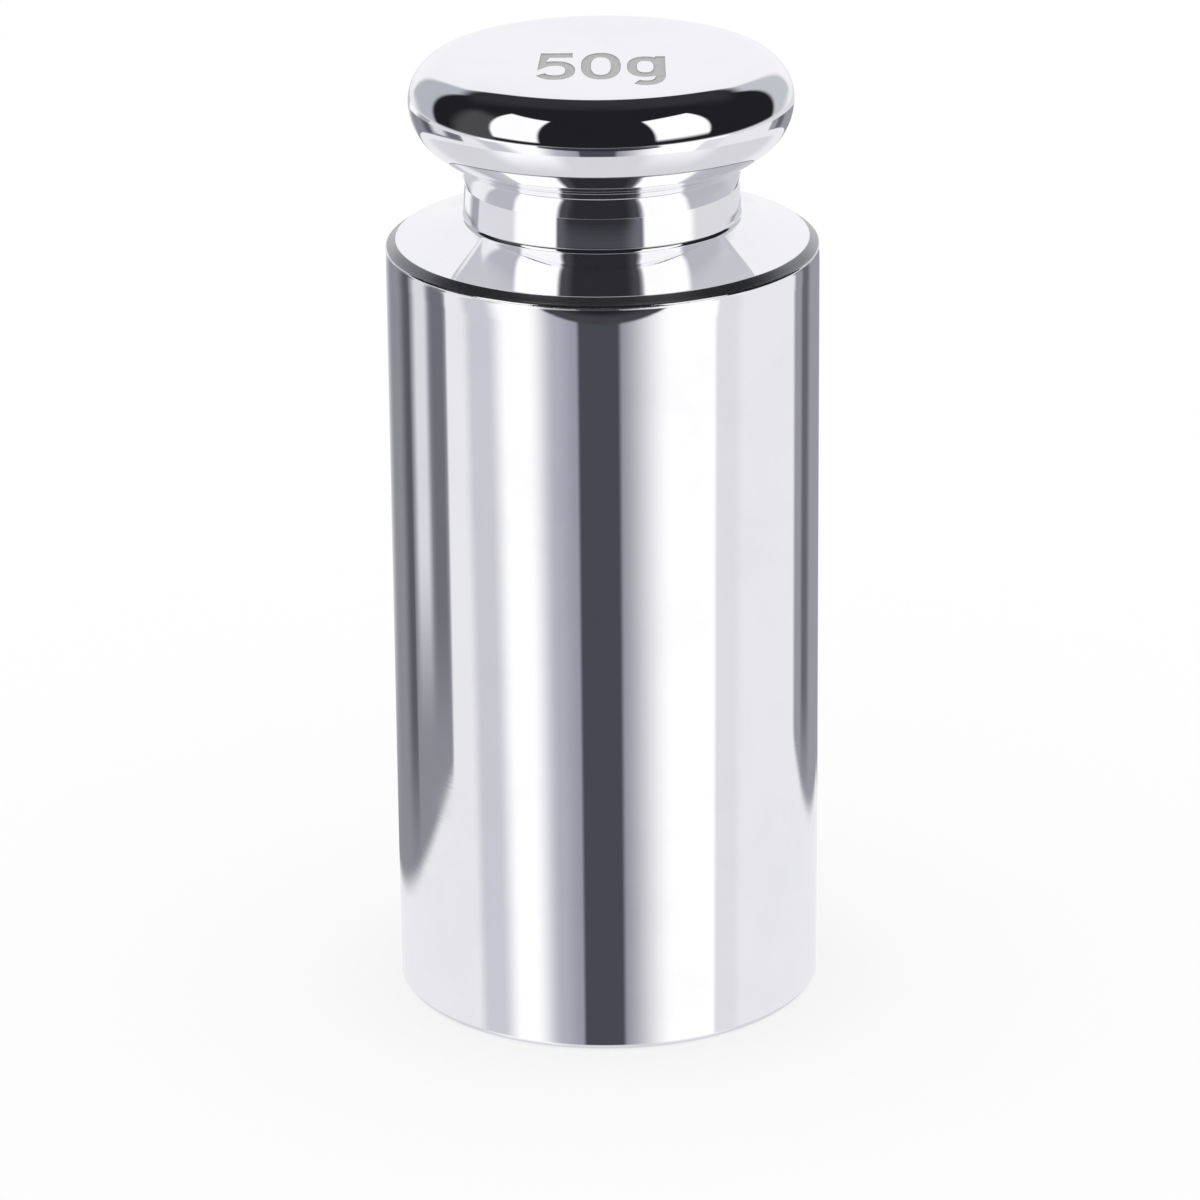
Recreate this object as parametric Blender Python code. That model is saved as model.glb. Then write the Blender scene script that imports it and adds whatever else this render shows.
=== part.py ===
"""A 50 gram calibration weight with a lifting knob, turned from one piece of steel.

The weight stands on its flat base, with the origin at the middle of that face and +Z up.
The whole outside is one turned profile: a straight body, a chamfered shoulder that rises in a
shallow sweep, a narrow neck and a knob with a full, slightly drooping round rim.
"""
import math

import bmesh
import bpy

# Heights, in metres: the body up to its shoulder, the shoulder's rise from the chamfer to the
# neck, and the whole neck and knob above the chamfer
BODY_HEIGHT = 0.0293
SHOULDER_RISE = 0.00085
HEAD_HEIGHT = 0.0068

# Diameters, in metres
BODY_DIAMETER = 0.0160
NECK_DIAMETER = 0.0101
KNOB_DIAMETER = 0.0141

# Radii of the turned stretches, in metres: the rim above and below the knob's widest place, the
# hollow of the throat between knob and neck, and the long shallow sweep of the shoulder
RIM_TOP_RADIUS = 0.0016
RIM_UNDER_RADIUS = 0.0020
THROAT_RADIUS = 0.0018
SHOULDER_SWEEP_RADIUS = 0.0090

# Edges, in metres
BASE_ROUND = 0.00025
SHOULDER_CHAMFER = 0.0004

# How finely the round stretches are cut
TURN_STEPS = 72
BASE_ROUND_STEPS = 3
SWEEP_STEPS = 4
THROAT_STEPS = 8
RIM_UNDER_STEPS = 9
RIM_TOP_STEPS = 9

# Two edges that meet at more than this angle stay crisp under smooth shading
CRISP_ANGLE = math.radians(30)

# Profile points closer than this are one point
MERGE_DISTANCE = 0.0000001

STEEL_COLOUR = (0.70, 0.70, 0.72, 1.0)
STEEL_ROUGHNESS = 0.06


def arc(centre_radius, centre_height, radius, start, end, steps):
    """Points (distance from the axis, height) along an arc, with its angles in radians."""
    points = []
    for step in range(steps + 1):
        angle = start + (end - start) * step / steps
        distance = centre_radius + radius * math.cos(angle)
        height = centre_height + radius * math.sin(angle)
        points.append((distance, height))
    return points


def arc_between(start, end, radius, steps):
    """Points along an arc of a given radius from start to end. It bulges to the left."""
    half_chord = math.dist(start, end) / 2
    middle = ((start[0] + end[0]) / 2, (start[1] + end[1]) / 2)
    heading = math.atan2(end[1] - start[1], end[0] - start[0])
    centre_offset = math.sqrt(radius ** 2 - half_chord ** 2)
    centre_radius = middle[0] + centre_offset * math.sin(heading)
    centre_height = middle[1] - centre_offset * math.cos(heading)
    left = heading + math.pi / 2
    half_turn = math.asin(half_chord / radius)
    return arc(centre_radius, centre_height, radius, left + half_turn, left - half_turn, steps)


def body_profile():
    """The underside, the rounded base edge, the straight wall and the chamfer."""
    body_radius = BODY_DIAMETER / 2
    underside = [(0.0, 0.0)]
    base_edge = arc(
        body_radius - BASE_ROUND, BASE_ROUND, BASE_ROUND, -math.pi / 2, 0.0, BASE_ROUND_STEPS
    )
    chamfer = [
        (body_radius, BODY_HEIGHT - SHOULDER_CHAMFER),
        (body_radius - SHOULDER_CHAMFER, BODY_HEIGHT),
    ]
    return underside + base_edge + chamfer


def shoulder_profile():
    """The shallow hollow sweep that rises from the chamfer to the foot of the neck."""
    outer_edge = (BODY_DIAMETER / 2 - SHOULDER_CHAMFER, BODY_HEIGHT)
    neck_foot = (NECK_DIAMETER / 2, BODY_HEIGHT + SHOULDER_RISE)
    return arc_between(outer_edge, neck_foot, SHOULDER_SWEEP_RADIUS, SWEEP_STEPS)


def neck_and_knob_profile():
    """The upright neck, the hollow throat, the knob's round rim and its flat top."""
    neck_radius = NECK_DIAMETER / 2
    knob_radius = KNOB_DIAMETER / 2
    top_height = BODY_HEIGHT + HEAD_HEIGHT
    widest_height = top_height - RIM_TOP_RADIUS

    # The throat is upright where it leaves the neck, and the underside of the rim is upright at
    # the knob's widest place. The two arcs bend opposite ways and touch where both have this
    # slope, which follows from how far their centres stand apart.
    throat_centre_radius = neck_radius + THROAT_RADIUS
    under_centre_radius = knob_radius - RIM_UNDER_RADIUS
    both_radii = THROAT_RADIUS + RIM_UNDER_RADIUS
    slope = math.asin((throat_centre_radius - under_centre_radius) / both_radii)
    throat_centre_height = widest_height - both_radii * math.cos(slope)

    throat = arc(
        throat_centre_radius, throat_centre_height, THROAT_RADIUS,
        math.pi, math.pi / 2 + slope, THROAT_STEPS
    )
    rim_under = arc(
        under_centre_radius, widest_height, RIM_UNDER_RADIUS,
        slope - math.pi / 2, 0.0, RIM_UNDER_STEPS
    )
    rim_top = arc(
        knob_radius - RIM_TOP_RADIUS, widest_height, RIM_TOP_RADIUS,
        0.0, math.pi / 2, RIM_TOP_STEPS
    )
    top_centre = [(0.0, top_height)]
    return throat + rim_under + rim_top + top_centre


def without_repeats(points):
    """The points, less any that lies on the one before it."""
    kept = [points[0]]
    for point in points[1:]:
        if math.dist(point, kept[-1]) > MERGE_DISTANCE:
            kept.append(point)
    return kept


def turned_mesh(name, profile):
    """The closed solid that a profile sweeps in one turn about the Z axis."""
    shape = bmesh.new()
    corners = [shape.verts.new((distance, 0.0, height)) for distance, height in profile]
    outline = [shape.edges.new(pair) for pair in zip(corners, corners[1:])]
    bmesh.ops.spin(
        shape, geom=corners + outline, cent=(0.0, 0.0, 0.0), axis=(0.0, 0.0, 1.0),
        angle=2 * math.pi, steps=TURN_STEPS, use_merge=True
    )
    bmesh.ops.remove_doubles(shape, verts=shape.verts, dist=MERGE_DISTANCE)
    bmesh.ops.recalc_face_normals(shape, faces=shape.faces)
    mesh = bpy.data.meshes.new(name)
    shape.to_mesh(mesh)
    shape.free()
    mesh.shade_smooth()
    mesh.set_sharp_from_angle(angle=CRISP_ANGLE)
    return mesh


def polished_steel():
    """Bright polished metal with a faint cool tint."""
    material = bpy.data.materials.new("polished_steel")
    material.use_nodes = True
    surface = material.node_tree.nodes["Principled BSDF"]
    surface.inputs["Base Color"].default_value = STEEL_COLOUR
    surface.inputs["Metallic"].default_value = 1.0
    surface.inputs["Roughness"].default_value = STEEL_ROUGHNESS
    return material


def knob_weight():
    """The whole weight: one turned piece of steel."""
    profile = without_repeats(body_profile() + shoulder_profile() + neck_and_knob_profile())
    weight = bpy.data.objects.new("knob_weight", turned_mesh("knob_weight", profile))
    weight.data.materials.append(polished_steel())
    bpy.context.collection.objects.link(weight)
    return weight


for leftover in list(bpy.data.objects):
    bpy.data.objects.remove(leftover, do_unlink=True)

knob_weight()
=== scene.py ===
# %% [markdown]
# # A polished 50 g calibration weight
#
# The real object is one turned piece of steel with a bright, mirror-like plating. It has three
# stories to tell: a long plain cylinder, a hollow neck for a forceps or two fingers, and a knob
# with a round rim and a flat top that carries the nominal value. There is no colour and almost no
# texture, so the look comes from an exact surface and from what that surface reflects.
#
# The construction comes packed as a frame, in metres. It could be shown as it is, but its 72 flat
# sides would break every reflection. The scene keeps its size and place, and dresses it with a
# much finer turning of the same profile.

# %% Load the frame
import math

import bmesh
import bpy
from mathutils import Matrix, Vector


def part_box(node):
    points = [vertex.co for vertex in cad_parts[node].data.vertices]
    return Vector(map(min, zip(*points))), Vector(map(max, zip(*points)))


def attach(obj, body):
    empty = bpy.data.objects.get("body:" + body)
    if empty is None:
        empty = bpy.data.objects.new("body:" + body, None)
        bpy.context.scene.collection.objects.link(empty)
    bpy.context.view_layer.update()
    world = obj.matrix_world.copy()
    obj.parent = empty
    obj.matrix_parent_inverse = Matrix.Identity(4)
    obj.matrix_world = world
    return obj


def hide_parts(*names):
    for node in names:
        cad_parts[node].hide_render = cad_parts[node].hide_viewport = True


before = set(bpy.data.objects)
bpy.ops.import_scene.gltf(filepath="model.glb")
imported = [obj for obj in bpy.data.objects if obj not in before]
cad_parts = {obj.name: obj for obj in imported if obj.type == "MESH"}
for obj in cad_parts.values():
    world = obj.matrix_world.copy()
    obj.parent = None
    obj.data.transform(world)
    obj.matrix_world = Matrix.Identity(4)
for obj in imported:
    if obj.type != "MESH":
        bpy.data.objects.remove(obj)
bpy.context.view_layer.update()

# %% [markdown]
# ## The profile
#
# A lathe cuts one outline, and everything else follows from it. The overall height and the
# body's radius are read from the frame, so the two models can't drift apart. Most of the smaller
# sizes repeat the ones that the solid was made with. A few differ from them by a tenth of a
# millimetre or so, because a mirror shows more than a solid needs: the edges that look sharp are
# very small rounds that catch a thin line of light, the chamfer is a little flatter, the neck
# leans in by a few degrees, and the wall rolls off just under the shoulder.

# %% Sizes
MM = 0.001

weight_low, weight_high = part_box("knob_weight")
BODY_RADIUS = (weight_high.x - weight_low.x) / 2
TOP_HEIGHT = weight_high.z

HEAD_HEIGHT = 6.8 * MM
SHOULDER_HEIGHT = TOP_HEIGHT - HEAD_HEIGHT
SHOULDER_RISE = 0.85 * MM
NECK_FOOT_RADIUS = 5.11 * MM
KNOB_RADIUS = 7.05 * MM

RIM_TOP_RADIUS = 1.6 * MM
RIM_UNDER_RADIUS = 2.1 * MM
NECK_TOP_HEIGHT = 31.40 * MM
THROAT_START = math.radians(-13)
SHOULDER_SWEEP_RADIUS = 9.0 * MM

BASE_ROUND = 0.25 * MM
SHOULDER_CHAMFER = 0.4 * MM
CHAMFER_DROP = 0.27 * MM
CHAMFER_EDGE_ROUND = 0.08 * MM
NECK_FOOT_ROUND = 0.15 * MM
NECK_TOP_ROUND = 0.02 * MM
NECK_FOOT_TILT = math.radians(3.1)
NECK_TOP_TILT = math.radians(4.0)
ROLL_OFF_HEIGHT = 0.72 * MM
ROLL_OFF_START = math.radians(0.7)
ROLL_OFF_TILT = math.radians(3.0)

print("shoulder at", round(SHOULDER_HEIGHT / MM, 2), "mm, top at", round(TOP_HEIGHT / MM, 2), "mm")


# %% Arcs and softened corners
def arc(centre, radius, start, end, steps):
    """Points along an arc in the profile's plane: x is the distance from the axis, y the height."""
    points = []
    for step in range(steps + 1):
        angle = start + (end - start) * step / steps
        points.append(Vector(centre) + radius * Vector((math.cos(angle), math.sin(angle))))
    return points


def soft_corner(before, corner, after, radius, steps):
    """The arc that rounds the corner between two straight stretches."""
    corner = Vector(corner)
    back = (Vector(before) - corner).normalized()
    ahead = (Vector(after) - corner).normalized()
    half_angle = back.angle(ahead) / 2
    centre = corner + (back + ahead).normalized() * radius / math.sin(half_angle)
    first = corner + back * radius / math.tan(half_angle) - centre
    last = corner + ahead * radius / math.tan(half_angle) - centre
    start = math.atan2(first.y, first.x)
    turn = math.remainder(math.atan2(last.y, last.x) - start, math.tau)
    return arc(centre, radius, start, start + turn, steps)


# %% The shoulder's sweep
SWEEP_STEPS = 16


def shoulder_sweep():
    """The shallow hollow arc from the chamfer up to the foot of the neck."""
    start = Vector((BODY_RADIUS - SHOULDER_CHAMFER, SHOULDER_HEIGHT))
    end = Vector((NECK_FOOT_RADIUS, SHOULDER_HEIGHT + SHOULDER_RISE))
    chord = end - start
    left = Vector((-chord.y, chord.x)).normalized()
    below_chord = math.sqrt(SHOULDER_SWEEP_RADIUS ** 2 - chord.length_squared / 4)
    centre = (start + end) / 2 - left * below_chord
    middle_angle = math.atan2(left.y, left.x)
    half_turn = math.asin(chord.length / 2 / SHOULDER_SWEEP_RADIUS)
    return arc(
        centre, SHOULDER_SWEEP_RADIUS,
        middle_angle + half_turn, middle_angle - half_turn, SWEEP_STEPS
    )


# %% The body's outline
EDGE_STEPS = 5
ROLL_OFF_STEPS = 12


def body_outline():
    """The rounded base edge, the wall with its roll-off, and the chamfer with softened edges."""
    base_edge = arc(
        (BODY_RADIUS - BASE_ROUND, BASE_ROUND), BASE_ROUND, -math.pi / 2, 0.0, 2 * EDGE_STEPS
    )
    roll_off_low = SHOULDER_HEIGHT - CHAMFER_DROP - ROLL_OFF_HEIGHT
    roll_off_radius = ROLL_OFF_HEIGHT / (math.sin(ROLL_OFF_TILT) - math.sin(ROLL_OFF_START))
    roll_off_centre = (
        BODY_RADIUS - roll_off_radius * math.cos(ROLL_OFF_START),
        roll_off_low - roll_off_radius * math.sin(ROLL_OFF_START),
    )
    roll_off = arc(roll_off_centre, roll_off_radius, ROLL_OFF_START, ROLL_OFF_TILT, ROLL_OFF_STEPS)
    chamfer_low = roll_off.pop()
    chamfer_high = (BODY_RADIUS - SHOULDER_CHAMFER, SHOULDER_HEIGHT)
    sweep = shoulder_sweep()
    low_edge = soft_corner(roll_off[-1], chamfer_low, chamfer_high, CHAMFER_EDGE_ROUND, EDGE_STEPS)
    high_edge = soft_corner(chamfer_low, chamfer_high, sweep[1], CHAMFER_EDGE_ROUND, EDGE_STEPS)
    return base_edge + roll_off + low_edge + high_edge


# %% The neck's and the knob's outline
THROAT_STEPS = 24
RIM_STEPS = 30
NECK_STEPS = 6


def s_curve(low_point, low_facing, high_point, high_facing, high_radius):
    """A hollow arc that runs into a round one. Facings are the metal's, at the two end points."""
    low_out = Vector((math.cos(low_facing), math.sin(low_facing)))
    high_out = Vector((math.cos(high_facing), math.sin(high_facing)))
    high_centre = high_point - high_radius * high_out
    gap = low_point - high_centre
    low_radius = (gap.length_squared - high_radius ** 2) / (2 * (high_radius - gap.dot(low_out)))
    low_centre = low_point + low_radius * low_out
    between = low_centre - high_centre
    meeting = math.atan2(between.y, between.x)
    hollow = arc(low_centre, low_radius, math.pi + low_facing, math.pi + meeting, THROAT_STEPS)
    return hollow + arc(high_centre, high_radius, meeting, high_facing, RIM_STEPS)


def neck_and_knob_outline():
    """The soft foot of the neck, the neck, the throat and the knob's round rim."""
    widest = Vector((KNOB_RADIUS, TOP_HEIGHT - RIM_TOP_RADIUS))
    rim_top_centre = (KNOB_RADIUS - RIM_TOP_RADIUS, widest.y)
    rim_top = arc(rim_top_centre, RIM_TOP_RADIUS, 0.0, math.pi / 2, RIM_STEPS)

    sweep = shoulder_sweep()
    neck_height = NECK_TOP_HEIGHT - sweep[-1].y
    neck_bend = neck_height / (math.sin(NECK_TOP_TILT) - math.sin(NECK_FOOT_TILT))
    foot_facing = Vector((math.cos(NECK_FOOT_TILT), math.sin(NECK_FOOT_TILT)))
    neck_centre = sweep[-1] - neck_bend * foot_facing
    neck = arc(neck_centre, neck_bend, NECK_FOOT_TILT, NECK_TOP_TILT, NECK_STEPS)
    throat_and_rim = s_curve(neck[-1], THROAT_START, widest, 0.0, RIM_UNDER_RADIUS)
    foot = soft_corner(sweep[-2], sweep[-1], neck[-1], NECK_FOOT_ROUND, EDGE_STEPS)
    neck_end = soft_corner(neck[-3], neck[-1], throat_and_rim[1], NECK_TOP_ROUND, EDGE_STEPS)
    upright = [point for point in neck if foot[-1].y < point.y < neck_end[0].y]
    above = [point for point in throat_and_rim if point.y > neck_end[-1].y]
    return sweep[1:-1] + foot + upright + neck_end + above + rim_top


outline = body_outline() + neck_and_knob_outline()
narrowest = min(point.x for point in outline)
print("outline:", len(outline), "points,", round(narrowest / MM, 2), "mm radius at its narrowest")

# %% [markdown]
# ## Turning the metal
#
# A mirror shows every flaw in its normals. Where a flat face runs into an arc, smooth shading
# would bend the whole flat face a little. Two guard points close to the ends of each straight
# stretch keep that bend inside two hundredths of a millimetre. The profile is then spun with the
# same tool that a modeller would use by hand, and the two round holes left at the axis are closed
# with one flat face each.

# %% Guard points
GUARD = 0.02 * MM
LONG_STRETCH = 0.2 * MM
SAME_POINT = 0.0005 * MM


def guarded(points):
    """The outline with guard points at the ends of its long stretches and no doubled points."""
    result = [points[0]]
    for point in points[1:]:
        stretch = point - result[-1]
        if stretch.length < SAME_POINT:
            continue
        if stretch.length > LONG_STRETCH:
            result.append(result[-1] + stretch.normalized() * GUARD)
            result.append(point - stretch.normalized() * GUARD)
        result.append(point)
    return result


# %% Turn the weight
AROUND = 288
CRISP_ANGLE = math.radians(25)


def turned_mesh(name, points):
    """The closed mesh of an outline turned once about the Z axis."""
    underside = Vector((points[0].x - GUARD, points[0].y))
    top = Vector((points[-1].x - GUARD, points[-1].y))
    metal = bmesh.new()
    closed_in = [underside] + points + [top]
    corners = [metal.verts.new((point.x, 0, point.y)) for point in closed_in]
    edges = [metal.edges.new(pair) for pair in zip(corners, corners[1:])]
    bmesh.ops.spin(
        metal, geom=corners + edges, cent=(0, 0, 0), axis=(0, 0, 1),
        angle=math.tau, steps=AROUND, use_merge=True
    )
    rims = [edge for edge in metal.edges if edge.is_boundary]
    bmesh.ops.holes_fill(metal, edges=rims, sides=0)
    bmesh.ops.recalc_face_normals(metal, faces=metal.faces)
    mesh = bpy.data.meshes.new(name)
    metal.to_mesh(mesh)
    metal.free()
    return mesh


weight = bpy.data.objects.new("polished_weight", turned_mesh("polished_weight", guarded(outline)))
bpy.context.collection.objects.link(weight)
print("turned:", len(weight.data.polygons), "faces")

# %% [markdown]
# ## The marking
#
# The nominal value is etched into the flat top, so that it survives years of wiping. It could be
# painted on with a mask, but a real step in the surface also catches light along its walls and
# stays there in the exported mesh. A marking machine moves one tool along simple centre lines, and
# the numerals are drawn here in the same way: a few arcs and straight runs, widened to a ribbon.
# The ribbon is wider where it runs across the top than where it runs up and down, as in wide
# lettering that is made to be read from a low angle. An exact Boolean sinks the ribbons into the
# top, and the cutter's own material goes with the cut faces, which are matte because etching
# leaves a grain.

# %% Materials for the two surfaces
polished_chrome = bpy.data.materials.new("polished_chrome")
etched_marking = bpy.data.materials.new("etched_marking")
for material in (polished_chrome, etched_marking):
    material.use_nodes = True

# %% Centre lines of the numerals, in millimetres on the top, with +Y away from the reader
NUMERAL_STEPS = 40


def bend(centre, half_width, half_height, start, end, squareness=2.4):
    """Points along part of a rounded box, from one angle in degrees to another."""
    points = []
    for step in range(NUMERAL_STEPS + 1):
        angle = math.radians(start + (end - start) * step / NUMERAL_STEPS)
        across = math.copysign(abs(math.cos(angle)) ** (2 / squareness), math.cos(angle))
        up = math.copysign(abs(math.sin(angle)) ** (2 / squareness), math.sin(angle))
        points.append(Vector((centre[0] + half_width * across, centre[1] + half_height * up)))
    return points


def five():
    """The flag, the stem and the bowl of the 5."""
    flag_and_stem = [Vector((-1.02, 0.03)), Vector((-2.02, 0.03)), Vector((-2.14, -1.42))]
    return flag_and_stem + bend((-1.67, -2.02), 0.56, 0.95, 128, -152)


def nought():
    """The closed oval of the 0."""
    return bend((0.0, -1.475), 0.54, 1.50, 90, 450)


def bowl_of_the_g():
    """The closed bowl of the g."""
    return bend((1.60, -1.60), 0.48, 1.08, 0, 360)


def stem_of_the_g():
    """The stem of the g with its hook."""
    return [Vector((2.15, -0.20))] + bend((1.62, -2.70), 0.53, 1.08, 0, -125)


print("the 5 has", len(five()), "points")

# %% Ribbons along the centre lines
STROKE_UP = 0.36
STROKE_ACROSS = 0.62
ETCH_DEPTH = 0.04 * MM
SHARPEST_MITRE = 0.5
RIBBON_CORNERS = ((1, 1), (1, -1), (-1, -1), (-1, 1))


def ribbon(shape, path, closed):
    """Adds a closed solid ribbon along a path, half above and half below the knob's top."""
    squeeze = STROKE_UP / STROKE_ACROSS
    flat = [Vector((point.x, point.y * squeeze)) for point in path]
    if closed:
        flat = flat[:-1]
    count = len(flat)
    rings = []
    for index, point in enumerate(flat):
        before = flat[index - 1] if closed or index else None
        after = flat[(index + 1) % count] if closed or index < count - 1 else None
        headings = []
        if before is not None:
            headings.append((point - before).normalized())
        if after is not None:
            headings.append((after - point).normalized())
        heading = sum(headings, Vector((0, 0))).normalized()
        side = Vector((-heading.y, heading.x))
        reach = STROKE_UP / 2 / max(heading.dot(headings[0]), SHARPEST_MITRE)
        ring = []
        for direction, depth in RIBBON_CORNERS:
            corner = point + side * reach * direction
            height = TOP_HEIGHT + depth * ETCH_DEPTH
            ring.append(shape.verts.new((corner.x * MM, corner.y / squeeze * MM, height)))
        rings.append(ring)
    pairs = list(zip(rings, rings[1:]))
    if closed:
        pairs.append((rings[-1], rings[0]))
    for ring, following in pairs:
        for corner in range(len(RIBBON_CORNERS)):
            previous = corner - 1
            shape.faces.new(
                (ring[corner], ring[previous], following[previous], following[corner])
            )
    if not closed:
        shape.faces.new(rings[0])
        shape.faces.new(reversed(rings[-1]))


# %% The cutter
cutter_shape = bmesh.new()
ribbon(cutter_shape, five(), closed=False)
ribbon(cutter_shape, nought(), closed=True)
ribbon(cutter_shape, bowl_of_the_g(), closed=True)
ribbon(cutter_shape, stem_of_the_g(), closed=False)
bmesh.ops.recalc_face_normals(cutter_shape, faces=cutter_shape.faces)
cutter_mesh = bpy.data.meshes.new("marking_cutter")
cutter_shape.to_mesh(cutter_mesh)
cutter_shape.free()
cutter_mesh.materials.append(etched_marking)
cutter = bpy.data.objects.new("marking_cutter", cutter_mesh)
bpy.context.collection.objects.link(cutter)
print("cutter:", len(cutter_mesh.vertices), "vertices")

# %% Sink the numerals into the top
weight.data.materials.append(polished_chrome)
etching = weight.modifiers.new("etching", "BOOLEAN")
etching.operation = "DIFFERENCE"
etching.solver = "EXACT"
etching.use_self = True
etching.material_mode = "TRANSFER"
etching.object = cutter
graph = bpy.context.evaluated_depsgraph_get()
etched_mesh = bpy.data.meshes.new_from_object(weight.evaluated_get(graph))
weight.modifiers.clear()
weight.data = etched_mesh
bpy.data.objects.remove(cutter)

etched_mesh.shade_smooth()
etched_mesh.set_sharp_from_angle(angle=CRISP_ANGLE)
etched_faces = [face for face in etched_mesh.polygons if face.material_index == 1]
triangles = sum(len(face.vertices) - 2 for face in etched_mesh.polygons)
print("etched faces:", len(etched_faces), "of", len(etched_mesh.polygons))
print("triangles:", triangles, "slots:", [slot.name for slot in etched_mesh.materials])

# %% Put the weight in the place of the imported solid
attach(weight, "root")
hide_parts("knob_weight")

# %% [markdown]
# ## The camera
#
# The picture was taken from a little above with a long lens, as small products usually are: the
# sides stay nearly parallel and the top still shows. The camera stands at a distance and a height
# from the weight, looks just below its middle, and leans a trace to one side, as a tripod does.

# %% Camera
LENS = 173.95
SENSOR = 36.0
CAMERA_DISTANCE = 217.11 * MM
CAMERA_ELEVATION = math.radians(19.78)
ORBIT_HEIGHT = 18 * MM
AIM = Vector((-0.22, 0, 14.963)) * MM
LEAN = math.radians(-0.558)

camera = bpy.data.objects.new("camera", bpy.data.cameras.new("camera"))
camera.data.lens = LENS
camera.data.sensor_fit = "HORIZONTAL"
camera.data.sensor_width = SENSOR
camera.data.clip_start = 10 * MM
camera.location = (
    0,
    -CAMERA_DISTANCE * math.cos(CAMERA_ELEVATION),
    ORBIT_HEIGHT + CAMERA_DISTANCE * math.sin(CAMERA_ELEVATION),
)
sight = (AIM - camera.location).to_track_quat("-Z", "Y")
camera.rotation_mode = "QUATERNION"
camera.rotation_quaternion = sight @ Matrix.Rotation(LEAN, 3, "Z").to_quaternion()
bpy.context.collection.objects.link(camera)
bpy.context.scene.camera = camera
print("camera at", [round(value / MM, 1) for value in camera.location], "mm")

# %% [markdown]
# ## Small helpers for nodes
#
# Every finish below is a small network of nodes. Three helpers keep them readable: one adds a node
# and fills or connects its inputs, one adds a step of arithmetic, and one makes a group with named
# sockets. In a long network each node is added after the nodes that feed it, because otherwise the
# renderer can run out of room for it and shows plain black.


# %% Node helpers
def add_node(tree, kind, label=None, **values):
    """Adds a node. Values go to its inputs, or to its settings where no input has that name."""
    node = tree.nodes.new(kind)
    if label:
        node.label = label
    for name, value in values.items():
        socket_name = name.replace("_", " ")
        if hasattr(node, name):
            setattr(node, name, value)
        elif isinstance(value, bpy.types.NodeSocket):
            tree.links.new(value, node.inputs[socket_name])
        else:
            node.inputs[socket_name].default_value = value
    return node


def math_node(tree, operation, *values):
    """A Math node with its inputs filled or connected in order. Gives its output socket."""
    node = tree.nodes.new("ShaderNodeMath")
    node.operation = operation
    for socket, value in zip(node.inputs, values):
        if isinstance(value, bpy.types.NodeSocket):
            tree.links.new(value, socket)
        else:
            socket.default_value = value
    return node.outputs[0]


def new_group(name, inputs, outputs):
    """A shader node group. Inputs and outputs are (name, kind of socket, default value)."""
    group = bpy.data.node_groups.new(name, "ShaderNodeTree")
    for direction, sockets in (("INPUT", inputs), ("OUTPUT", outputs)):
        for socket_name, kind, default in sockets:
            socket = group.interface.new_socket(
                name=socket_name, in_out=direction, socket_type="NodeSocket" + kind
            )
            if default is not None:
                socket.default_value = default
    entry = group.nodes.new("NodeGroupInput")
    leave = group.nodes.new("NodeGroupOutput")
    return group, entry.outputs, leave.inputs


# %% [markdown]
# ## What the metal reflects
#
# Polished chrome has almost no colour of its own. What the eye reads as chrome is the studio in
# it: a dark room, two soft boxes in front, a white wall behind, and a pale table with darker
# strips that draw the crisp lines along the cylinder. Modelling that studio would fill the scene
# with things that aren't the object, so it is painted on the world, and only glossy rays see it.
# Each thing in the studio is a card with soft edges, placed by the direction in which the metal
# sees it. The places and tones follow the reflections that the weight shows in its picture. One
# group makes the card's mask, and each card is one copy of it.


# %% A soft step
def soft_step(tree, value, edge, softness):
    """0 below the edge and 1 above it, with a smooth rise as wide as the softness."""
    half = math_node(tree, "MULTIPLY", softness, 0.5)
    rise_from = math_node(tree, "SUBTRACT", edge, half)
    rise_to = math_node(tree, "ADD", edge, half)
    ramp = tree.nodes.new("ShaderNodeMapRange")
    ramp.interpolation_type = "SMOOTHSTEP"
    tree.links.new(value, ramp.inputs["Value"])
    tree.links.new(rise_from, ramp.inputs["From Min"])
    tree.links.new(rise_to, ramp.inputs["From Max"])
    return ramp.outputs["Result"]


# %% The studio card group
BOW_LIMIT = 2.0


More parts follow.
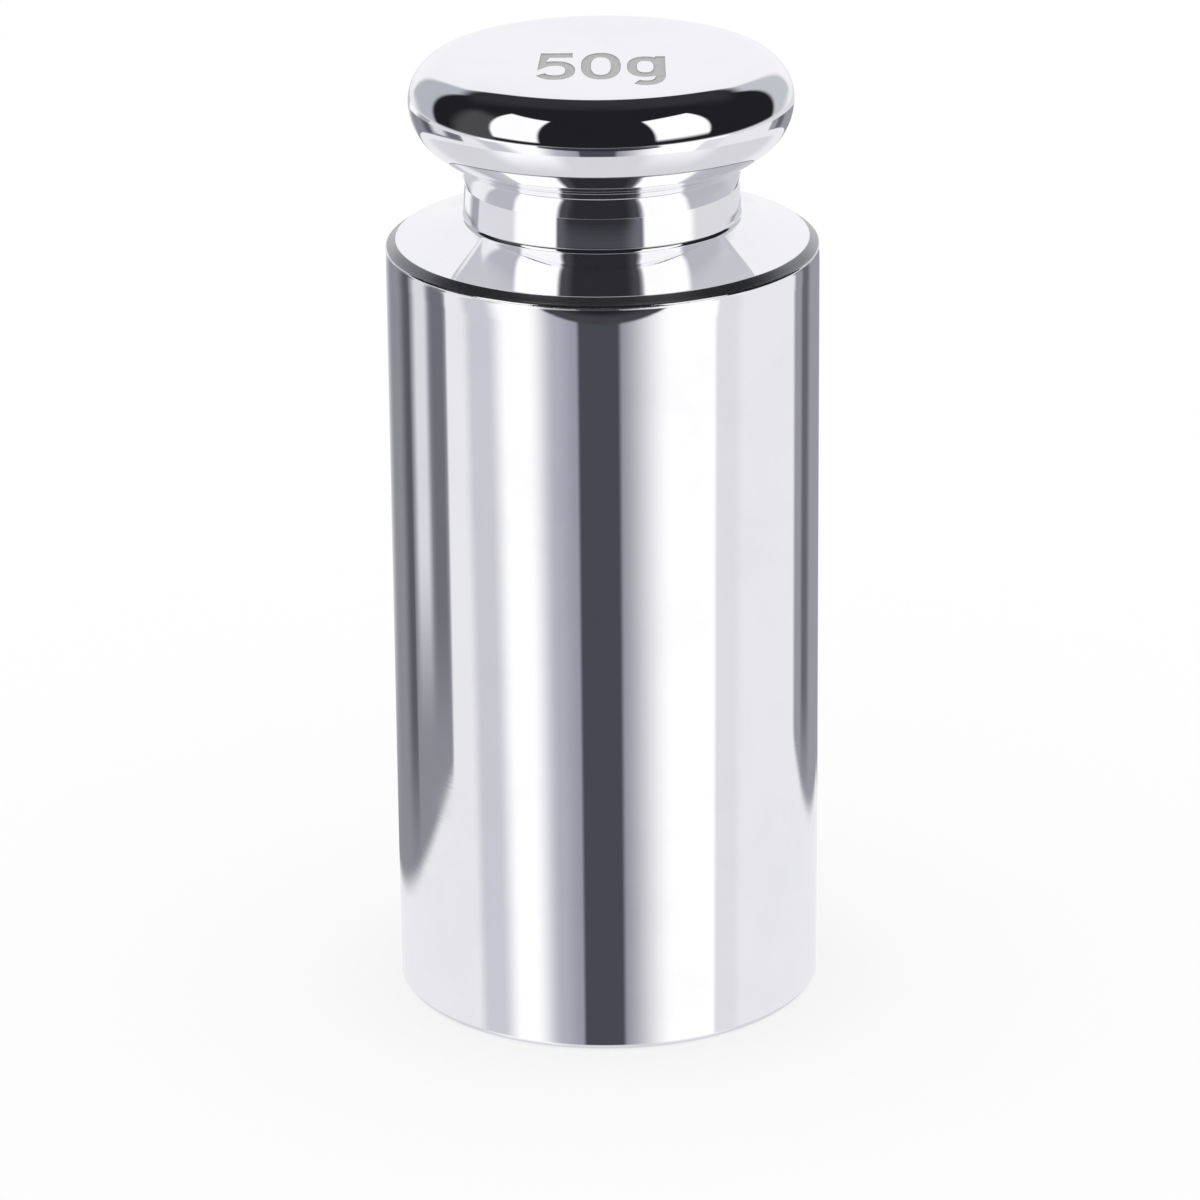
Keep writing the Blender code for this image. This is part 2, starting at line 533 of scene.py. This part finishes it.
def studio_card_group():
    """A soft-edged patch of directions, in degrees across and degrees up.

    Lean moves the patch sideways and Widen spreads its two sides, both per degree up. The bows
    lift the low edge and drop the high edge toward the patch's sides.
    """
    names = ["Across", "Up", "Left", "Right", "Low", "High"]
    softness = ["Left Softness", "Right Softness", "Low Softness", "High Softness"]
    shape = ["Lean", "Widen", "Low Bow", "High Bow"]
    inputs = [(name, "Float", 0.0) for name in names]
    inputs += [(name, "Float", 1.0) for name in softness]
    inputs += [(name, "Float", 0.0) for name in shape]
    group, given, result = new_group("studio_card", inputs, [("Mask", "Float", None)])

    both_sides = math_node(group, "ADD", given["Left"], given["Right"])
    middle = math_node(group, "MULTIPLY", both_sides, 0.5)
    width = math_node(group, "SUBTRACT", given["Right"], given["Left"])
    flat_half = math_node(group, "MULTIPLY", width, 0.5)
    half = math_node(group, "MULTIPLY_ADD", given["Up"], given["Widen"], flat_half)
    leaning = math_node(group, "MULTIPLY_ADD", given["Up"], given["Lean"], middle)
    moved = math_node(group, "SUBTRACT", given["Across"], leaning)
    offset = math_node(group, "WRAP", moved, 180.0, -180.0)

    minus_half = math_node(group, "MULTIPLY", half, -1.0)
    after_left = soft_step(group, offset, minus_half, given["Left Softness"])
    after_right = soft_step(group, offset, half, given["Right Softness"])
    share = math_node(group, "DIVIDE", offset, half)
    square = math_node(group, "MULTIPLY", share, share)
    share_squared = math_node(group, "MINIMUM", square, BOW_LIMIT)
    low_edge = math_node(group, "MULTIPLY_ADD", share_squared, given["Low Bow"], given["Low"])
    drop = math_node(group, "MULTIPLY", share_squared, given["High Bow"])
    high_edge = math_node(group, "SUBTRACT", given["High"], drop)
    above_low = soft_step(group, given["Up"], low_edge, given["Low Softness"])
    above_high = soft_step(group, given["Up"], high_edge, given["High Softness"])

    across_mask = math_node(group, "SUBTRACT", after_left, after_right)
    up_mask = math_node(group, "SUBTRACT", above_low, above_high)
    mask = math_node(group, "MULTIPLY", across_mask, up_mask)
    group.links.new(mask, result["Mask"])
    return group


studio_card = studio_card_group()
print("card sockets:", len(studio_card.interface.items_tree))

# %% [markdown]
# ## The light plan
#
# Every card is placed by azimuth, which is 0 at the camera's side and grows to the right, and by
# elevation, in degrees. Cards lower in a list cover those above them. The room and the soft boxes
# lie above the table's edge. They draw the knob, whose round rim sees almost every direction.

# %% Cards of the room: name, (left, right, low, high), colour, softness in the same order, extras
DARK = (0.016, 0.016, 0.019)
WHITE = (1.12, 1.12, 1.12)

ROOM_CARDS = [
    ("ceiling_back", (120, 240, 44, 80), (0.035, 0.035, 0.04), (40, 40, 10, 30), {}),
    ("back_grey_left", (-162, -117, -12, 41), (0.50, 0.51, 0.56), (6, 6, 8, 7), {"Lean": -0.45}),
    ("back_grey_right", (123, 162, -12, 41), (0.58, 0.59, 0.63), (6, 6, 8, 7), {"Lean": 0.35}),
    ("back_white", (153, 208, -90, 44), (0.97, 0.97, 0.99), (6, 6, 1, 3), {"High Bow": 4}),
    ("haze_left", (-96, -66, -8, 40), (0.075, 0.075, 0.08), (14, 4, 6, 14), {"Lean": -0.1}),
    ("soft_box_left", (-66, -37, 0, 54), WHITE, (3, 3, 4, 2), {"Lean": -0.2, "Widen": 0.09}),
    (
        "soft_box_right", (32, 65, 4, 56), WHITE, (3, 3, 9, 2),
        {"Lean": 0.13, "Widen": 0.10, "High Bow": 1.5},
    ),
]

TABLE_TOP = -8.0
FLOOR_CARDS = [
    ("table", (-180, 180, -90, TABLE_TOP), (0.73, 0.73, 0.76), (1, 1, 1, 4), {}),
    ("table_back", (140, 220, -90, -4), (0.90, 0.90, 0.92), (20, 20, 1, 8), {}),
    ("glow_left", (-70, -28, -46, -8), (1.08, 1.08, 1.10), (22, 18, 40, 4), {}),
    ("glow_right", (30, 72, -44, -8), (0.98, 0.98, 1.00), (18, 22, 40, 6), {}),
]

# %% [markdown]
# ## The strips on the table
#
# The straight wall only looks down, at a narrow belt of the table between 17 and 25 degrees below
# the horizon. Each strip in that belt becomes one upright line on the cylinder, and a strip that
# leans there becomes a line that leans. Under the shoulder the wall rolls off very slightly, and
# looks past the table into the dark room in front, as a dark crescent below the chamfer.

# %% Cards of the belt that the wall sees
NEAR = -90.0
FAR = 90.0
BAND_FAR = -14.0
TABLE_PALE = (0.89, 0.89, 0.91)

TABLE_CARDS = [
    ("left_fade", (-56, -12, NEAR, FAR), (0.47, 0.47, 0.54), (2, 2, 1, 1), {}),
    ("left_fade_deep", (-20, -12, NEAR, FAR), (0.34, 0.34, 0.41), (12, 2, 1, 1), {}),
    ("right_fade", (6, 50, NEAR, FAR), (0.28, 0.28, 0.33), (2, 2, 1, 1), {}),
    ("left_white", (-68, -33, NEAR, FAR), WHITE, (10, 16, 1, 1), {}),
    ("right_white", (21, 67, NEAR, FAR), WHITE, (32, 4, 1, 1), {}),
    ("left_grey", (-88, -69, NEAR, FAR), (0.64, 0.64, 0.70), (8, 12, 1, 1), {"Lean": -0.6}),
    ("right_grey", (67, 82, NEAR, FAR), (0.80, 0.80, 0.83), (3, 8, 1, 1), {"Lean": 0.3}),
    ("stripe", (-13.5, 8.5, NEAR, FAR), (0.072, 0.072, 0.092), (2.5, 3, 1, 1), {}),
    (
        "band_left", (-196, -92, -23.3, BAND_FAR), (0.28, 0.28, 0.32), (2, 2.5, 0.3, 1),
        {"Low Bow": 1.1},
    ),
    ("band_left_end", (-190, -163, -21.5, BAND_FAR), (0.80, 0.80, 0.84), (2, 24, 3.0, 1), {}),
    ("band_left_dark", (-105, -94, -21.3, BAND_FAR), (0.17, 0.17, 0.20), (6, 3, 1.8, 1), {}),
    ("band_left_light", (-121, -108, -20.9, BAND_FAR), (0.76, 0.76, 0.80), (7, 6, 2.2, 1), {}),
    ("band_left_line", (-135, -125, -22.5, BAND_FAR), (0.11, 0.11, 0.13), (12, 3, 2.0, 1), {}),
    (
        "band_right", (122, 168, -22.6, BAND_FAR), (0.33, 0.33, 0.37), (4, 6, 0.3, 1),
        {"Low Bow": 0.7},
    ),
    ("band_right_line", (131, 141, -22.0, BAND_FAR), (0.14, 0.14, 0.17), (5, 8, 1.5, 1), {}),
    ("back_light", (170, 190, NEAR, FAR), (1.05, 1.05, 1.05), (8, 8, 1, 1), {}),
    ("crescent", (-37, 37, -15.9, FAR), (0.060, 0.060, 0.068), (3, 3, 0.7, 4), {"Low Bow": 4}),
    ("crescent_deep", (-34, 34, -13.6, FAR), DARK, (6, 6, 2.0, 4), {"Low Bow": 3}),
]

# %% [markdown]
# ## The belt of the neck
#
# The neck is almost upright, so it sees a belt of the table less than three degrees high. Toward
# the weight's sides this belt sinks, and it has strips of its own.

# %% Cards of the neck
NECK_PALE = (0.77, 0.77, 0.80)

NECK_CARDS = [
    ("neck_left_end", (-180, -146, NEAR, FAR), (0.58, 0.58, 0.62), (1, 8, 1, 1), {}),
    ("neck_left_light", (-143, -126, NEAR, FAR), (1.0, 1.0, 1.02), (5, 5, 1, 1), {"Lean": 1.2}),
    ("neck_left_dip", (-122, -108, NEAR, FAR), (0.40, 0.40, 0.44), (8, 4, 1, 1), {"Lean": 1.2}),
    ("neck_left_white", (-77, -34, NEAR, FAR), WHITE, (7, 4, 1, 1), {}),
    ("neck_right_white", (31, 80, NEAR, FAR), WHITE, (4, 10, 1, 1), {}),
    ("neck_left_edge", (-38, -26, NEAR, FAR), (0.12, 0.12, 0.14), (3, 2, 1, 1), {}),
    ("neck_right_edge", (14, 34, NEAR, FAR), (0.16, 0.16, 0.19), (2, 4, 1, 1), {}),
    ("neck_middle", (-30, 22, NEAR, FAR), (0.070, 0.070, 0.084), (10, 16, 1, 1), {}),
    ("neck_middle_dark", (-31, 24, -9.6, FAR), (0.030, 0.030, 0.036), (10, 16, 1.6, 1), {}),
]

# %% [markdown]
# ## Light that has met the metal twice
#
# Between the shoulder and the knob the metal reflects itself, and a ray that has met it twice
# leaves in a direction that the knob's rim looks in too. In a real studio boards and cloths stand
# close to the weight, so the two would still find different things there. A world is infinitely
# far away and can't tell them apart by place. Light Path counts how many times a ray has been
# reflected, so the light of the fold can have a picture of its own.

# %% Cards of the fold
FOLD_LOW = 1.0
FOLD_HIGH = 90.0

FOLD_CARDS = [
    ("fold_grey_right", (82, 140, 8, 44), (0.57, 0.57, 0.62), (10, 20, 16, 14), {}),
    ("fold_grey_left", (-122, -82, 6, 38), (0.57, 0.57, 0.63), (14, 10, 14, 14), {}),
    ("fold_light_left", (-150, -124, 2, 30), (1.0, 1.0, 1.02), (10, 8, 6, 10), {"Lean": 0.3}),
    (
        "fold_white_left", (-80, -39, FOLD_LOW, FOLD_HIGH), (1.25, 1.25, 1.25), (6, 4, 3, 1),
        {"Lean": -0.17, "Widen": 0.08},
    ),
    (
        "fold_white_right", (35, 79, FOLD_LOW, FOLD_HIGH), (1.25, 1.25, 1.25), (4, 8, 3, 1),
        {"Lean": 0.12, "Widen": 0.05},
    ),
    (
        "fold_dark", (-38, 34, FOLD_LOW, FOLD_HIGH), (0.075, 0.075, 0.085), (5, 8, 3, 1),
        {"Widen": 0.06},
    ),
    (
        "fold_darker", (-28, 24, FOLD_LOW, FOLD_HIGH), (0.03, 0.03, 0.036), (10, 10, 3, 1),
        {"Widen": 0.08},
    ),
]
print("cards of the fold:", len(FOLD_CARDS))

# %% [markdown]
# ## Painting the cards
#
# The cards are laid over a plain ground one after the other, like paper cut-outs. The strips of
# the table and those of the neck are two whole pictures, and a belt of directions, also a card,
# shows each of them only where the wall or the neck looks.


# %% Directions in degrees
def direction_angles(tree):
    """The azimuth and the elevation of a ray, in degrees."""
    ray = tree.nodes.new("ShaderNodeTexCoord").outputs["Generated"]
    parts = tree.nodes.new("ShaderNodeSeparateXYZ")
    tree.links.new(ray, parts.inputs[0])
    x, y, z = parts.outputs
    toward_camera = math_node(tree, "MULTIPLY", y, -1.0)
    azimuth = math_node(tree, "DEGREES", math_node(tree, "ARCTAN2", x, toward_camera))
    elevation = math_node(tree, "DEGREES", math_node(tree, "ARCSINE", z))
    return azimuth, elevation


# %% One colour over another
def mixed(tree, mask, below, above, label):
    """Lays a colour over another by a mask. Both may be sockets or plain colours."""
    mix = tree.nodes.new("ShaderNodeMix")
    mix.data_type = "RGBA"
    mix.label = label
    tree.links.new(mask, mix.inputs["Factor"])
    for socket, colour in ((mix.inputs[6], below), (mix.inputs[7], above)):
        if isinstance(colour, bpy.types.NodeSocket):
            tree.links.new(colour, socket)
        else:
            socket.default_value = (*colour, 1.0)
    return mix.outputs[2]


# %% A list of cards over a ground
def paint_cards(tree, ground, across, up, cards):
    """Lays cards over a ground colour, one after the other."""
    picture = ground
    for name, edges, colour, softness, extras in cards:
        card = add_node(tree, "ShaderNodeGroup", name, node_tree=studio_card)
        tree.links.new(across, card.inputs["Across"])
        tree.links.new(up, card.inputs["Up"])
        for side, edge, soft in zip(("Left", "Right", "Low", "High"), edges, softness):
            card.inputs[side].default_value = edge
            card.inputs[side + " Softness"].default_value = soft
        for socket_name, value in extras.items():
            card.inputs[socket_name].default_value = value
        picture = mixed(tree, card.outputs["Mask"], picture, colour, name)
    return picture


# %% Paint the pictures of the studio
world = bpy.data.worlds.new("studio")
world.use_nodes = True
bpy.context.scene.world = world
sky = world.node_tree

azimuth, elevation = direction_angles(sky)
room = paint_cards(sky, DARK, azimuth, elevation, ROOM_CARDS + FLOOR_CARDS)
table = paint_cards(sky, TABLE_PALE, azimuth, elevation, TABLE_CARDS)
neck_strips = paint_cards(sky, NECK_PALE, azimuth, elevation, NECK_CARDS)

# %% Show the strips in their belts
ALL_ROUND = (-200, 200)
BELT_CARDS = [
    ("table_belt", (*ALL_ROUND, -27, -10.6), table, (1, 1, 1.5, 0.2), {"High Bow": 4.2}),
    (
        "neck_belt", (*ALL_ROUND, -11.3, -8.0), neck_strips, (1, 1, 0.2, 0.2),
        {"Low Bow": -6.6, "High Bow": 5.0},
    ),
]
FOLD_GROUND = (0.68, 0.68, 0.72)

once = paint_cards(sky, room, azimuth, elevation, BELT_CARDS)
twice = paint_cards(sky, FOLD_GROUND, azimuth, elevation, FOLD_CARDS)
print("nodes in the world:", len(sky.nodes))

# %% [markdown]
# ## Who sees what
#
# The camera and all matte surfaces see a plain white room, at a level at which a colour looks as
# it is written. The metal sees the studio. The two pictures could be mixed as colours, but mixed
# as lights they let the renderer skip the picture that a ray doesn't need.


# %% Choose a light for each kind of ray
def chosen(tree, choice, plain, other, label):
    """One light where the choice is 0 and another where it is 1."""
    mix = add_node(tree, "ShaderNodeMixShader", label)
    for socket, source in zip(mix.inputs, (choice, plain, other)):
        tree.links.new(source, socket)
    return mix.outputs[0]


TWICE = 1.5
ROOM_WHITE = (1.0, 1.0, 1.0, 1.0)

path = sky.nodes.new("ShaderNodeLightPath")
met_twice = math_node(sky, "GREATER_THAN", path.outputs["Glossy Depth"], TWICE)
white_room = sky.nodes["Background"]
white_room.inputs["Color"].default_value = ROOM_WHITE
first = add_node(sky, "ShaderNodeBackground", "reflected once", Color=once)
second = add_node(sky, "ShaderNodeBackground", "reflected twice", Color=twice)
reflected = chosen(sky, met_twice, first.outputs[0], second.outputs[0], "reflected")
seen = chosen(sky, path.outputs["Is Glossy Ray"], white_room.outputs[0], reflected, "seen")
sky.links.new(seen, sky.nodes["World Output"].inputs["Surface"])
world.cycles.sampling_method = "NONE"
print("world:", world.name, "with sampling", world.cycles.sampling_method)

# %% [markdown]
# ## The finishes
#
# The weight is turned, polished and plated. Up close even a mirror isn't perfect: the polishing
# wheel leaves rings round the axis, the fingers leave a faint film, and the metal has a grain.
# Each of these is one node group, built once. Film and grain serve both finishes, with values of
# their own. The mirror's rings and grain are fractions of a micrometre deep, because a mirror
# magnifies every slope. The scales are in repeats per metre, more or less.

# %% Rings left by turning and polishing
RING_SCALE = 9000.0
RING_WAVER = 0.02 * MM
SWAY_SCALE = 90.0


def rings_group():
    """Fine rings round the axis, from the distance to the axis and the height together."""
    inputs = [("Scale", "Float", RING_SCALE), ("Waver", "Float", RING_WAVER)]
    group, given, result = new_group("turning_rings", inputs, [("Height", "Float", None)])
    place = group.nodes.new("ShaderNodeTexCoord").outputs["Object"]
    parts = add_node(group, "ShaderNodeSeparateXYZ", Vector=place)
    x, y, z = parts.outputs
    square = math_node(group, "MULTIPLY", x, x)
    radius = math_node(group, "SQRT", math_node(group, "MULTIPLY_ADD", y, y, square))
    ring = math_node(group, "ADD", radius, z)
    sway = add_node(
        group, "ShaderNodeTexNoise", "sway", Vector=place, Scale=SWAY_SCALE, Detail=1.0
    )
    ring = math_node(group, "MULTIPLY_ADD", sway.outputs[0], given["Waver"], ring)
    lines = group.nodes.new("ShaderNodeTexNoise")
    lines.noise_dimensions = "1D"
    lines.inputs["Detail"].default_value = 3.0
    group.links.new(ring, lines.inputs["W"])
    group.links.new(given["Scale"], lines.inputs["Scale"])
    group.links.new(lines.outputs[0], result["Height"])
    return group


# %% The film of handling
FILM_SCALE = 260.0
FILM_CLEAN = 0.75
FILM_COVERED = 0.5
FILM_EDGE = 0.2


def film_group():
    """Soft clouds where fingers and cloths have been, from 0 for clean to 1."""
    inputs = [("Scale", "Float", FILM_SCALE), ("Cover", "Float", 0.5)]
    group, given, result = new_group("handling_film", inputs, [("Mask", "Float", None)])
    place = group.nodes.new("ShaderNodeTexCoord").outputs["Object"]
    cloud = add_node(
        group, "ShaderNodeTexNoise", "cloud",
        Vector=place, Detail=4.0, Roughness=0.6, Distortion=0.4
    )
    group.links.new(given["Scale"], cloud.inputs["Scale"])
    cover = math_node(group, "MULTIPLY", given["Cover"], FILM_COVERED)
    low = math_node(group, "SUBTRACT", FILM_CLEAN, cover)
    high = math_node(group, "ADD", low, FILM_EDGE)
    ramp = group.nodes.new("ShaderNodeMapRange")
    group.links.new(cloud.outputs[0], ramp.inputs["Value"])
    group.links.new(low, ramp.inputs["From Min"])
    group.links.new(high, ramp.inputs["From Max"])
    group.links.new(ramp.outputs["Result"], result["Mask"])
    return group


# %% The grain
GRAIN_SCALE = 14000.0
GRAIN_LOW = 0.35
GRAIN_HIGH = 0.65


def grain_group():
    """A fine even grain, as a height and as a mask from 0 to 1."""
    outputs = [("Height", "Float", None), ("Mask", "Float", None)]
    group, given, result = new_group("metal_grain", [("Scale", "Float", GRAIN_SCALE)], outputs)
    place = group.nodes.new("ShaderNodeTexCoord").outputs["Object"]
    noise = add_node(group, "ShaderNodeTexNoise", "grain", Vector=place, Detail=3.0, Roughness=0.7)
    group.links.new(given["Scale"], noise.inputs["Scale"])
    group.links.new(noise.outputs[0], result["Height"])
    ramp = add_node(group, "ShaderNodeMapRange", From_Min=GRAIN_LOW, From_Max=GRAIN_HIGH)
    group.links.new(noise.outputs[0], ramp.inputs["Value"])
    group.links.new(ramp.outputs["Result"], result["Mask"])
    return group


# %% A band between two heights
def band_group():
    """1 between two heights on the weight and 0 outside them."""
    inputs = [("Low", "Float", 0.0), ("High", "Float", 0.01), ("Softness", "Float", 0.0001)]
    group, given, result = new_group("height_band", inputs, [("Mask", "Float", None)])
    place = group.nodes.new("ShaderNodeTexCoord").outputs["Object"]
    parts = add_node(group, "ShaderNodeSeparateXYZ", Vector=place)
    above_low = soft_step(group, parts.outputs[2], given["Low"], given["Softness"])
    above_high = soft_step(group, parts.outputs[2], given["High"], given["Softness"])
    group.links.new(math_node(group, "SUBTRACT", above_low, above_high), result["Mask"])
    return group


rings = rings_group()
film = film_group()
grain = grain_group()
height_band = band_group()
print("groups:", [group.name for group in (rings, film, grain, height_band)])

# %% [markdown]
# ## Polished chrome
#
# Plated metal is nearly colourless and reflects about nine tenths of the light. The film makes
# the reflections a trace softer in places. The chamfer is a ground edge that the wheel doesn't
# reach, so it is rougher, and its colour is painted darker: a painted shade that dims the
# reflections on it. Its lower edge has tiny nicks that break the line of light on it.


# %% Polished chrome
def scaled(tree, value, amount, base=0.0):
    """A varying value times an amount, plus a base, which may vary too."""
    return math_node(tree, "MULTIPLY_ADD", value, amount, base)


metal_tree = polished_chrome.node_tree
chrome = metal_tree.nodes["Principled BSDF"]
chrome.inputs["Metallic"].default_value = 1.0

CHROME = (0.90, 0.90, 0.915)
CHROME_UNDER_FILM = (0.875, 0.875, 0.89)
# The chamfer's colour is painted darker than the plating, a painted shade that dims its
# reflections.
GROUND_EDGE_PAINTED_SHADE = (0.36, 0.36, 0.37)
CHAMFER_LOW = SHOULDER_HEIGHT - CHAMFER_DROP
FILM_COVER = 0.55

clouds = add_node(metal_tree, "ShaderNodeGroup", "film", node_tree=film, Cover=FILM_COVER)
chrome_tint = mixed(metal_tree, clouds.outputs["Mask"], CHROME, CHROME_UNDER_FILM, "film tint")
chamfer_mask = add_node(
    metal_tree, "ShaderNodeGroup", "chamfer", node_tree=height_band,
    Low=CHAMFER_LOW + 0.02 * MM, High=SHOULDER_HEIGHT - 0.01 * MM, Softness=0.03 * MM,
)
chamfer = chamfer_mask.outputs["Mask"]
# Painted shade: the chamfer's band takes the darker colour, over the film tint.
chrome_colour = mixed(metal_tree, chamfer, chrome_tint, GROUND_EDGE_PAINTED_SHADE, "chamfer")
metal_tree.links.new(chrome_colour, chrome.inputs["Base Color"])
print("ground edge from", round(CHAMFER_LOW / MM, 2), "to", round(SHOULDER_HEIGHT / MM, 2), "mm")

# %% Roughness of the polished chrome
FILM_ROUGHNESS = 0.020
CLEAN_ROUGHNESS = 0.022
GROUND_ROUGHNESS = 0.26
roughness = scaled(metal_tree, clouds.outputs["Mask"], FILM_ROUGHNESS, CLEAN_ROUGHNESS)
roughness = scaled(metal_tree, chamfer, GROUND_ROUGHNESS, roughness)
metal_tree.links.new(roughness, chrome.inputs["Roughness"])

# %% Relief of the polished chrome
RING_SHARE = 0.5
GRAIN_SHARE = 0.35
NICK_SCALE = 2600.0
NICK_SHARE = 60.0
POLISH_DEPTH = 0.00012 * MM

ring_lines = add_node(metal_tree, "ShaderNodeGroup", "rings", node_tree=rings)
fine_grain = add_node(metal_tree, "ShaderNodeGroup", "grain", node_tree=grain)
relief = scaled(metal_tree, ring_lines.outputs["Height"], RING_SHARE)
relief = scaled(metal_tree, fine_grain.outputs["Height"], GRAIN_SHARE, relief)
edge_mask = add_node(
    metal_tree, "ShaderNodeGroup", "edge", node_tree=height_band,
    Low=CHAMFER_LOW - 0.10 * MM, High=CHAMFER_LOW + 0.06 * MM, Softness=0.06 * MM,
)
nicks = add_node(metal_tree, "ShaderNodeGroup", "nicks", node_tree=grain, Scale=NICK_SCALE)
nick_height = math_node(metal_tree, "MULTIPLY", nicks.outputs["Height"], edge_mask.outputs["Mask"])
relief = scaled(metal_tree, nick_height, NICK_SHARE, relief)
bump = add_node(metal_tree, "ShaderNodeBump", "polish", Height=relief, Distance=POLISH_DEPTH)
metal_tree.links.new(bump.outputs["Normal"], chrome.inputs["Normal"])
print("nodes in the chrome:", len(metal_tree.nodes))

# %% [markdown]
# ## The etched numerals
#
# Etching eats the plating away and leaves a flat grey with an even grain. It scatters light, so it
# hardly changes with the studio, and that is why it reads well on a mirror.

# %% Etched marking
etch_tree = etched_marking.node_tree
etched = etch_tree.nodes["Principled BSDF"]
etched.inputs["Metallic"].default_value = 0.0
etched.inputs["Specular IOR Level"].default_value = 0.2

ETCH_LIGHT = (0.545, 0.54, 0.54)
ETCH_DARK = (0.455, 0.45, 0.45)
ETCH_GRAIN_SCALE = 9000.0
ETCH_FILM_SCALE = 1200.0
ETCH_FILM_COVER = 0.6
ETCH_FILM_SHARE = 0.3

etch_grain = add_node(
    etch_tree, "ShaderNodeGroup", "grain", node_tree=grain, Scale=ETCH_GRAIN_SCALE
)
etch_film = add_node(
    etch_tree, "ShaderNodeGroup", "film",
    node_tree=film, Scale=ETCH_FILM_SCALE, Cover=ETCH_FILM_COVER
)
etch_tone = mixed(etch_tree, etch_grain.outputs["Mask"], ETCH_DARK, ETCH_LIGHT, "grain tone")
worn = scaled(etch_tree, etch_film.outputs["Mask"], ETCH_FILM_SHARE)
etch_tone = mixed(etch_tree, worn, etch_tone, ETCH_DARK, "film tone")
etch_tree.links.new(etch_tone, etched.inputs["Base Color"])

# %% Roughness and relief of the marking
ETCH_SMOOTHEST = 0.6
ETCH_ROUGHER = 0.15
ETCH_RELIEF = 0.004 * MM

etch_roughness = scaled(etch_tree, etch_grain.outputs["Mask"], ETCH_ROUGHER, ETCH_SMOOTHEST)
etch_tree.links.new(etch_roughness, etched.inputs["Roughness"])
etch_bump = add_node(
    etch_tree, "ShaderNodeBump", "grain",
    Height=etch_grain.outputs["Height"], Distance=ETCH_RELIEF
)
etch_tree.links.new(etch_bump.outputs["Normal"], etched.inputs["Normal"])
print("nodes in the marking:", len(etch_tree.nodes))

# %% [markdown]
# ## The floor
#
# The weight stands on plain white paper. Paper scatters light evenly, so it is a rough surface
# with no gloss, and the white room lights it. Part of what the camera sees of it is its own plain
# white, which thins the shadow to the faint one that a bright studio leaves. The metal doesn't
# see the floor, because the table that it reflects is painted on the world.

# %% Floor
FLOOR_REACH = 1.5

floor_shape = bmesh.new()
bmesh.ops.create_grid(floor_shape, x_segments=1, y_segments=1, size=FLOOR_REACH)
floor_mesh = bpy.data.meshes.new("floor")
floor_shape.to_mesh(floor_mesh)
floor_shape.free()
floor = bpy.data.objects.new("floor", floor_mesh)
bpy.context.collection.objects.link(floor)
floor.visible_glossy = False
print("floor:", 2 * FLOOR_REACH, "m across")

# %% Paper
PAPER_SCALE = 400.0
PAPER_COVER = 0.5
PAPER_LIGHT = (1.0, 1.0, 1.0)
PAPER_SHADE = (0.995, 0.995, 0.995)

floor_paper = bpy.data.materials.new("floor_paper")
floor_paper.use_nodes = True
paper_tree = floor_paper.node_tree
paper = paper_tree.nodes["Principled BSDF"]
paper.inputs["Roughness"].default_value = 1.0
paper.inputs["Specular IOR Level"].default_value = 0.0
fibres = add_node(
    paper_tree, "ShaderNodeGroup", "fibres",
    node_tree=film, Scale=PAPER_SCALE, Cover=PAPER_COVER
)
paper_tone = mixed(paper_tree, fibres.outputs["Mask"], PAPER_LIGHT, PAPER_SHADE, "fibres")
paper_tree.links.new(paper_tone, paper.inputs["Base Color"])

# %% The paper's plain white for the camera
FLOOR_LIFT = 0.7

paper_path = paper_tree.nodes.new("ShaderNodeLightPath")
plain_white = add_node(paper_tree, "ShaderNodeEmission", "plain white", Strength=1.0)
lift = scaled(paper_tree, paper_path.outputs["Is Camera Ray"], FLOOR_LIFT)
paper_look = chosen(
    paper_tree, lift, paper.outputs[0], plain_white.outputs[0], "thin the shadow"
)
paper_tree.links.new(paper_look, paper_tree.nodes["Material Output"].inputs["Surface"])
floor_mesh.materials.append(floor_paper)
print("paper:", len(paper_tree.nodes), "nodes")

# %% [markdown]
# ## Finish
#
# The Standard view transform shows a white of 1 as plain white.

# %% Finish
bpy.context.scene.view_settings.view_transform = "Standard"
